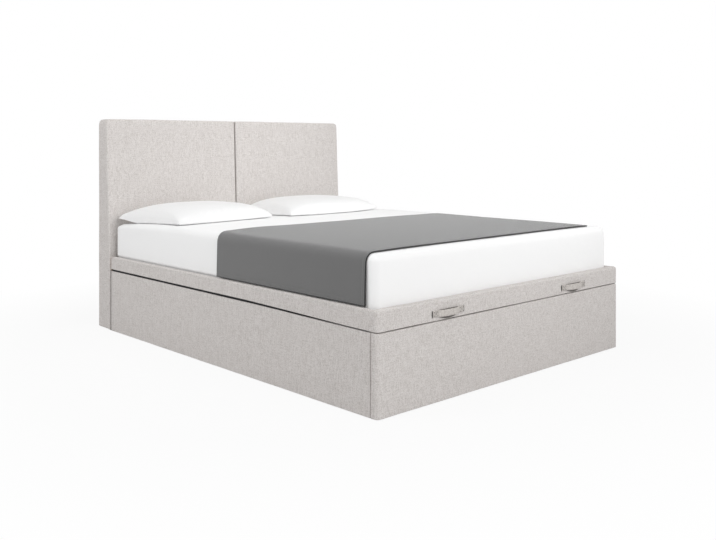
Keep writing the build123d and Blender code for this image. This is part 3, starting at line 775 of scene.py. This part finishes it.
def strap_ring(low, high, share):
    """A section of a strap that bows out between its flat ends."""
    x = (low.x + high.x) / 2 + (high.x - low.x) / 2 * share
    loose = smooth(1 - (share / STRAP_FLAT_SHARE) ** 2) if abs(share) < STRAP_FLAT_SHARE else 0
    ring = []
    for level, face in STRAP_SECTION:
        bow = STRAP_TOP_BOW + (STRAP_BOTTOM_BOW - STRAP_TOP_BOW) * (1 - level)
        y = high.y - loose * bow - STRAP_THICKNESS * face
        ring.append((x, y, high.z - (high.z - low.z) * (1 - level)))
    return ring


def stitch(form, start, end):
    """Adds one stitch, a short thick thread that bulges out of the cloth."""
    way = (end - start) / 2
    across = way.normalized().cross(Vector((0.0, 1.0, 0.0))) * STITCH_THICKNESS / 2
    out = Vector((0.0, -STITCH_THICKNESS / 2, 0.0))
    centre = (start + end) / 2
    rings = []
    for share in STITCH_RINGS:
        width = math.sqrt(max(STITCH_END, 1 - share * share))
        middle = centre + way * share
        around = arc(0, 360, 6)[:-1]
        rings.append([form.verts.new(middle + (across * c + out * s) * width) for c, s in around])
    for near, far in zip(rings, rings[1:]):
        for i in range(len(near)):
            j = (i + 1) % len(near)
            form.faces.new((near[i], near[j], far[j], far[i]))
    form.faces.new(rings[0][::-1])
    form.faces.new(rings[-1])


def stitch_line(form, start, end):
    """Adds a row of stitches from one point to another."""
    count = max(1, round((end - start).length / (STITCH_PITCH * STITCH)))
    for i in range(count):
        middle = start.lerp(end, (i + 0.5) / count)
        half = (end - start).normalized() * STITCH / 2
        stitch(form, middle - half, middle + half)


def make_strap_stitches(node, low, high):
    """A sewn box with a cross in it at each end of a strap."""
    form = bmesh.new()
    width, height = STITCH_BOX
    y = high.y - STITCH_LEVEL * STRAP_THICKNESS
    z = (low.z + high.z) / 2
    for way in (-1, 1):
        x = (low.x + high.x) / 2 + way * ((high.x - low.x) / 2 - width / 2 - STITCH_BOX_INSET)
        corners = [
            Vector((x + across * width / 2, y, z + up * height / 2))
            for across, up in ((-1, -1), (1, -1), (1, 1), (-1, 1))
        ]
        for i in range(4):
            stitch_line(form, corners[i], corners[(i + 1) % 4])
        stitch_line(form, corners[0], corners[2])
        stitch_line(form, corners[1], corners[3])
    stitches = object_of(f"{node}_stitches", form)
    dress(stitches, node, "upholstery")
    stitches.data.materials[0] = THREAD


def make_slit_shades(node, low, high):
    """Black pieces that paint the shade in the openings of the rim's cover that the strap's ends go into.
    """
    for side, x in (("a", low.x + SLIT_SHIFT[0]), ("b", high.x + SLIT_SHIFT[1])):
        rings = []
        height = high.z - low.z
        for depth in (0.0, SLIT_DEPTH):
            ring = []
            for c, s in arc(0, 360, 16)[:-1]:
                up = low.z + height / 2 + s * (height / 2 + SLIT_BEYOND)
                ring.append((x + c * SLIT_WIDTH / 2, rim_low.y - SLIT_PROUD + depth, up))
            rings.append(ring)
        slit_shade = skin(f"{node}_slit_{side}", rings)
        dress(slit_shade, "lid", "backing_cloth")


def make_strap_shadow(node, low, high):
    """A dark patch on the rim behind a strap, which paints the strap's shadow."""
    middle, half = (low.x + high.x) / 2, (high.x - low.x) / 2
    rings = []
    for share in spread(-STRAP_SHADOW_SHARE, STRAP_SHADOW_SHARE, STRAP_SHADOW_STEP):
        bottom = low.z - STRAP_SHADOW_DROP * (1 - (share / STRAP_SHADOW_SHARE) ** 2)
        front, back = rim_low.y - STRAP_SHADOW_THICKNESS, rim_low.y + STRAP_SHADOW_THICKNESS
        corners = ((front, high.z), (front, bottom), (back, bottom), (back, high.z))
        rings.append([(middle + half * share, y, z) for y, z in corners])
    # The patch is a painted shadow of the strap on the rim
    facing = skin(f"{node}_facing", rings)
    facing.data.polygons.foreach_set("use_smooth", [False] * len(facing.data.polygons))
    dress(facing, "lid", "upholstery")
    facing.data.materials[0] = STRAP_SHADOW_CLOTH


def make_straps():
    """Two pull straps of the cover's fabric, sewn to the foot of the rim."""
    for side in ("left", "right"):
        node = f"handle_{side}"
        low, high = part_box(node)
        rings = [strap_ring(low, high, share) for share in spread(-1, 1, STRAP_STEP)]
        strap = skin(f"{node}_strap", rings)
        soft = strap.modifiers.new("soft edges", "SUBSURF")
        soft.levels = soft.render_levels = 1
        dress(strap, node, "upholstery", [node])
        # The strap takes a darker copy of the cover's cloth, which paints shade on it
        strap.data.materials[0] = SHADED_STRAP_CLOTH
        make_strap_shadow(node, low, high)
        make_strap_stitches(node, low, high)
        make_slit_shades(node, low, high)


class Finish:
    """A procedural material: one principled shader fed by patterns measured in metres."""

    def __init__(self, name, **sockets):
        self.material = bpy.data.materials.new(name)
        self.material.use_nodes = True
        tree = self.material.node_tree
        self.nodes, self.links = tree.nodes, tree.links
        self.shader = self.nodes["Principled BSDF"]
        for socket, value in sockets.items():
            self.shader.inputs[socket.replace("_", " ")].default_value = value
        place = self.nodes.new("ShaderNodeTexCoord")
        self.place, self.facing = place.outputs["Object"], place.outputs["Normal"]

    def node(self, kind, inputs, **settings):
        """A node with its settings and its inputs, linked or given as values."""
        made = self.nodes.new(kind)
        for key, value in settings.items():
            setattr(made, key, value)
        for socket, value in inputs.items():
            if isinstance(value, bpy.types.NodeSocket):
                self.links.new(value, made.inputs[socket])
            else:
                made.inputs[socket].default_value = value
        return made

    def sum(self, kind, first, second=0.0, third=0.0):
        """The result of a sum on one to three numbers."""
        return self.node(
            "ShaderNodeMath", {0: first, 1: second, 2: third}, operation=kind
        ).outputs[0]

    def speckle(self, size, stretch=(1.0, 1.0, 1.0), detail=2.0):
        """Noise of about a size, drawn out along the axes by stretch."""
        scale = tuple(1 / (size * s) for s in stretch)
        spot = self.node("ShaderNodeMapping", {"Vector": self.place, "Scale": scale})
        return self.node(
            "ShaderNodeTexNoise",
            {"Vector": spot.outputs[0], "Scale": 1.0, "Detail": detail},
        ).outputs["Fac"]

    def threads(self, pitch):
        """A plain weave of a pitch on faces of any direction: warp and weft heights."""
        place = self.node("ShaderNodeSeparateXYZ", {0: self.place}).outputs
        facing = self.node("ShaderNodeSeparateXYZ", {0: self.facing}).outputs
        level = self.sum("GREATER_THAN", self.sum("ABSOLUTE", facing["Z"]), LEVEL_FACE)
        sideways = self.sum("ADD", place["X"], place["Y"])
        across = self.node("ShaderNodeMix", {0: level, 2: sideways, 3: place["X"]}).outputs[0]
        up = self.node("ShaderNodeMix", {0: level, 2: place["Z"], 3: place["Y"]}).outputs[0]
        warp = self.sum("SINE", self.sum("MULTIPLY", across, 2 * math.pi / pitch))
        weft = self.sum("SINE", self.sum("MULTIPLY", up, 2 * math.pi / pitch))
        return self.sum("MULTIPLY_ADD", self.sum("MULTIPLY", warp, weft), 0.5, 0.5)

    def mix(self, first, *others):
        """Patterns added up, each given with its share."""
        mixed = self.sum("MULTIPLY", *first)
        for pattern, share in others:
            mixed = self.sum("MULTIPLY_ADD", pattern, share, mixed)
        return mixed

    def colours(self, factor, *stops):
        """Colours spread along a factor, each with its place."""
        ramp = self.node("ShaderNodeValToRGB", {0: factor})
        entries = ramp.color_ramp.elements
        while len(entries) < len(stops):
            entries.new(1.0)
        for entry, (place, colour) in zip(entries, stops):
            entry.position = place
            entry.color = (*colour, 1.0)
        return ramp.outputs[0]

    def paint(self, colour):
        """Uses a pattern as the base colour."""
        self.links.new(colour, self.shader.inputs["Base Color"])
        return self

    def shine(self, factor, low, high):
        """Uses a pattern as the roughness, between two values."""
        ranged = self.node("ShaderNodeMapRange", {0: factor, 3: low, 4: high})
        self.links.new(ranged.outputs[0], self.shader.inputs["Roughness"])
        return self

    def raise_by(self, *layers):
        """Bumps the surface by patterns, each with its height in metres."""
        normal = None
        for height, distance in layers:
            inputs = {"Height": height, "Distance": distance, "Strength": 1.0}
            if normal:
                inputs["Normal"] = normal
            normal = self.node("ShaderNodeBump", inputs).outputs[0]
        self.links.new(normal, self.shader.inputs["Normal"])
        return self


def upholstery_finish(name, shade=(1.0, 1.0, 1.0)):
    """Light warm grey melange: upright and level slubs of paler and darker yarn."""
    cloth = Finish(name, Roughness=0.92, Sheen_Weight=0.1)
    upright = cloth.speckle(size=0.0034, stretch=(1.0, 1.0, 10.0), detail=3.0)
    level = cloth.speckle(size=0.0034, stretch=(8.0, 8.0, 1.0), detail=3.0)
    specks = cloth.speckle(size=0.0040, detail=3.0)
    weave = cloth.threads(pitch=0.0018)
    mixed = cloth.mix((level, 0.17), (upright, 0.27), (specks, 0.48), (weave, 0.08))
    # shade darkens the copies of this cloth that paint shade on the straps and behind them
    shaded = [(place, [c * s for c, s in zip(colour, shade)]) for place, colour in MELANGE]
    cloth.paint(cloth.colours(mixed, *shaded))
    return cloth.raise_by((specks, 0.0005), (weave, 0.0003)).material


def thread_finish():
    """Darker twisted sewing thread."""
    thread = Finish("sewing_thread", Roughness=0.7)
    twist = thread.speckle(size=0.0006)
    thread.paint(thread.colours(twist, (0.3, (0.06, 0.055, 0.05)), (0.7, (0.14, 0.13, 0.12))))
    return thread.raise_by((twist, 0.0002)).material


def sheet_finish(name, colour, crease):
    """Fine white cotton with soft creases."""
    cloth = Finish(name, Roughness=0.85, Sheen_Weight=0.08)
    weave = cloth.threads(pitch=0.0008)
    folds = cloth.speckle(size=0.09, detail=3.0)
    shade = tuple(0.97 * c for c in colour)
    cloth.paint(cloth.colours(weave, (0.0, shade), (1.0, colour)))
    return cloth.raise_by((folds, crease), (weave, 0.0001)).material


def throw_finish(name, dark, light):
    """Grey cloth with a fine close weave."""
    cloth = Finish(name, Roughness=0.8, Sheen_Weight=0.5, Sheen_Roughness=0.4)
    weave = cloth.threads(pitch=0.0014)
    cloud = cloth.speckle(size=0.004, detail=3.0)
    mixed = cloth.mix((weave, 0.3), (cloud, 0.7))
    cloth.paint(cloth.colours(mixed, (0.2, (dark,) * 3), (0.8, (light,) * 3)))
    return cloth.raise_by((weave, 0.0003)).material


def wood_finish(name, dark, light, along):
    """Timber or board with grain drawn out along an axis."""
    wood = Finish(name, Roughness=0.6)
    stretch = tuple(14.0 if axis == along else 1.0 for axis in "XYZ")
    grain = wood.speckle(size=0.006, stretch=stretch, detail=5.0)
    bands = wood.speckle(size=0.05, stretch=stretch, detail=1.0)
    mixed = wood.mix((bands, 0.4), (grain, 0.6))
    wood.paint(wood.colours(mixed, (0.3, dark), (0.7, light)))
    wood.shine(grain, low=0.5, high=0.75)
    return wood.raise_by((grain, 0.0002)).material


def lining_finish():
    """Black bonded lining with a fine dimple."""
    cloth = Finish("backing_lining", Roughness=0.95)
    dimples = cloth.threads(pitch=0.003)
    fibres = cloth.speckle(size=0.002, detail=4.0)
    cloth.paint(cloth.colours(fibres, (0.3, (0.012, 0.012, 0.013)), (0.7, (0.035, 0.035, 0.037))))
    return cloth.raise_by((dimples, 0.0003), (fibres, 0.0003)).material


def metal_finish(name, dark, light, rough, metallic, grain):
    """Bare or painted metal with a fine uneven surface."""
    metal = Finish(name, Metallic=metallic)
    marks = metal.speckle(size=grain, detail=4.0)
    patches = metal.speckle(size=0.04)
    metal.paint(metal.colours(patches, (0.3, dark), (0.7, light)))
    metal.shine(marks, *rough)
    return metal.raise_by((marks, 0.00004)).material


def plastic_finish(name, colour, rough):
    """Moulded plastic or rubber with a fine texture."""
    plastic = Finish(name)
    texture = plastic.speckle(size=0.001, detail=3.0)
    pale = tuple(1.6 * c for c in colour)
    plastic.paint(plastic.colours(texture, (0.3, colour), (0.7, pale)))
    plastic.shine(texture, *rough)
    return plastic.raise_by((texture, 0.00008)).material


THREAD = thread_finish()
# A darker copy of the cover's cloth that paints shade on the straps
SHADED_STRAP_CLOTH = upholstery_finish("strap_melange_painted_shade", (0.88, 0.87, 0.85))
# A dark copy of the cover's cloth that paints the strap's shadow on the rim
STRAP_SHADOW_CLOTH = upholstery_finish("painted_strap_shadow_melange", (0.27, 0.26, 0.25))
# A near-black copy of the throw's cloth that paints shade along its edges and underside
THROW_SHADE_CLOTH = throw_finish("throw_painted_shade", 0.008, 0.014)
FINISHES = {
    "upholstery": upholstery_finish("upholstery_melange"),
    "mattress_cloth": sheet_finish("mattress_cotton", (0.94, 0.94, 0.94), 0.003),
    "pillow_cloth": sheet_finish("pillow_cotton", (0.86, 0.86, 0.86), 0.004),
    "throw_cloth": throw_finish("throw_weave", 0.125, 0.168),
    "boards": wood_finish("softwood_board", (0.42, 0.27, 0.14), (0.66, 0.48, 0.29), "Y"),
    "slat_wood": wood_finish("birch_slats", (0.56, 0.38, 0.21), (0.74, 0.56, 0.36), "X"),
    "backing_cloth": lining_finish(),
    "frame_paint": metal_finish(
        "frame_powder_coat", (0.030, 0.031, 0.034), (0.045, 0.046, 0.05), (0.42, 0.55), 0.0, 0.0012
    ),
    "strut_paint": metal_finish(
        "strut_enamel", (0.012, 0.012, 0.012), (0.018, 0.018, 0.018), (0.22, 0.32), 0.0, 0.004
    ),
    "strut_chrome": metal_finish(
        "strut_chrome", (0.70, 0.70, 0.72), (0.76, 0.76, 0.78), (0.06, 0.14), 1.0, 0.002
    ),
    "zinc_steel": metal_finish(
        "zinc_plate", (0.42, 0.43, 0.45), (0.58, 0.59, 0.60), (0.28, 0.46), 1.0, 0.003
    ),
    "black_plastic": plastic_finish("black_plastic", (0.018, 0.018, 0.018), (0.4, 0.6)),
    "buffer_rubber": plastic_finish("buffer_rubber", (0.012, 0.012, 0.012), (0.75, 0.9)),
}


def finish_nodes():
    """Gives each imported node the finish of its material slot."""
    slots = {row["node"]: row["material_slot"] for row in frame["record"]["subparts"]}
    for name, node in frame["nodes"].items():
        for place in node.material_slots:
            place.material = FINISHES[slots[name]]


def sum_of(tree, kind, *values):
    """The result of a sum on two numbers, each linked or given as a value."""
    made = tree.nodes.new("ShaderNodeMath")
    made.operation = kind
    for value, socket in zip(values, made.inputs):
        if isinstance(value, bpy.types.NodeSocket):
            tree.links.new(value, socket)
        else:
            socket.default_value = value
    return made.outputs[0]


def white_when_seen(tree, other, strength):
    """Mixes a shader with plain white light for camera, gloss and glass rays."""
    rays = tree.nodes.new("ShaderNodeLightPath").outputs
    seen = sum_of(tree, "MAXIMUM", rays["Is Camera Ray"], rays["Is Glossy Ray"])
    seen = sum_of(tree, "MAXIMUM", seen, rays["Is Transmission Ray"])
    mixed = tree.nodes.new("ShaderNodeMixShader")
    tree.links.new(sum_of(tree, "MULTIPLY", seen, strength), mixed.inputs[0])
    tree.links.new(other, mixed.inputs[1])
    return mixed


def make_world():
    """An even sky that lights the bed softly and that the camera sees as white."""
    world = bpy.data.worlds.new("studio")
    world.use_nodes = True
    tree = world.node_tree
    sky = tree.nodes["Background"]
    sky.inputs["Strength"].default_value = SKY
    sky.inputs["Color"].default_value = (1.0, 1.0, 1.0, 1.0)
    white = tree.nodes.new("ShaderNodeBackground")
    white.inputs["Color"].default_value = (1.0, 1.0, 1.0, 1.0)
    mixed = white_when_seen(tree, sky.outputs[0], 1.0)
    tree.links.new(white.outputs[0], mixed.inputs[2])
    tree.links.new(mixed.outputs[0], tree.nodes["World Output"].inputs[0])
    bpy.context.scene.world = world


def make_floor():
    """A pale floor that keeps a light shadow near the bed and fades to white."""
    reach = FLOOR_REACH
    floor = make_object(
        "floor",
        [(-reach, -reach, 0.0), (reach, -reach, 0.0), (reach, reach, 0.0), (-reach, reach, 0.0)],
        [(0, 1, 2, 3)],
    )
    material = bpy.data.materials.new("pale_floor")
    material.use_nodes = True
    tree = material.node_tree
    shader = tree.nodes["Principled BSDF"]
    shader.inputs["Base Color"].default_value = (FLOOR_GREY, FLOOR_GREY, FLOOR_GREY, 1.0)
    shader.inputs["Roughness"].default_value = FLOOR_ROUGHNESS
    place = tree.nodes.new("ShaderNodeTexCoord")
    distance = tree.nodes.new("ShaderNodeVectorMath")
    distance.operation = "LENGTH"
    tree.links.new(place.outputs["Object"], distance.inputs[0])
    fade = tree.nodes.new("ShaderNodeMapRange")
    fade.inputs["From Min"].default_value = FLOOR_SHADE_NEAR
    fade.inputs["From Max"].default_value = FLOOR_SHADE_FAR
    fade.inputs["To Min"].default_value = FLOOR_WHITE
    tree.links.new(distance.outputs["Value"], fade.inputs["Value"])
    white = tree.nodes.new("ShaderNodeEmission")
    mixed = white_when_seen(tree, shader.outputs[0], fade.outputs[0])
    tree.links.new(white.outputs[0], mixed.inputs[2])
    tree.links.new(mixed.outputs[0], tree.nodes["Material Output"].inputs[0])
    floor.data.materials.append(material)


def make_lamps():
    """Large soft lamps: above the bed, before its foot, at its left and for the headboard."""
    for name, (place, aim, size, power, beam) in LAMPS.items():
        lamp = bpy.data.lights.new(name, "AREA")
        lamp.size, lamp.energy, lamp.spread = size, power, math.radians(beam)
        holder = bpy.data.objects.new(name, lamp)
        bpy.context.collection.objects.link(holder)
        holder.location = place
        holder.rotation_euler = (Vector(aim) - Vector(place)).to_track_quat("-Z", "Y").to_euler()


def make_camera():
    """The camera of the photograph."""
    camera = bpy.data.objects.new("camera", bpy.data.cameras.new("camera"))
    bpy.context.collection.objects.link(camera)
    camera.location = CAMERA_PLACE
    camera.rotation_euler = (math.radians(90.0), 0.0, math.radians(CAMERA_TURN))
    camera.data.lens = CAMERA_LENS
    camera.data.shift_y = CAMERA_SHIFT
    bpy.context.scene.camera = camera


make_camera()
make_world()
make_floor()
make_lamps()
finish_nodes()
make_base_covers()
make_rim()
make_headboard()
make_mattress()
make_pillows()
make_throw()
make_straps()

bpy.context.scene.view_settings.view_transform = "Standard"
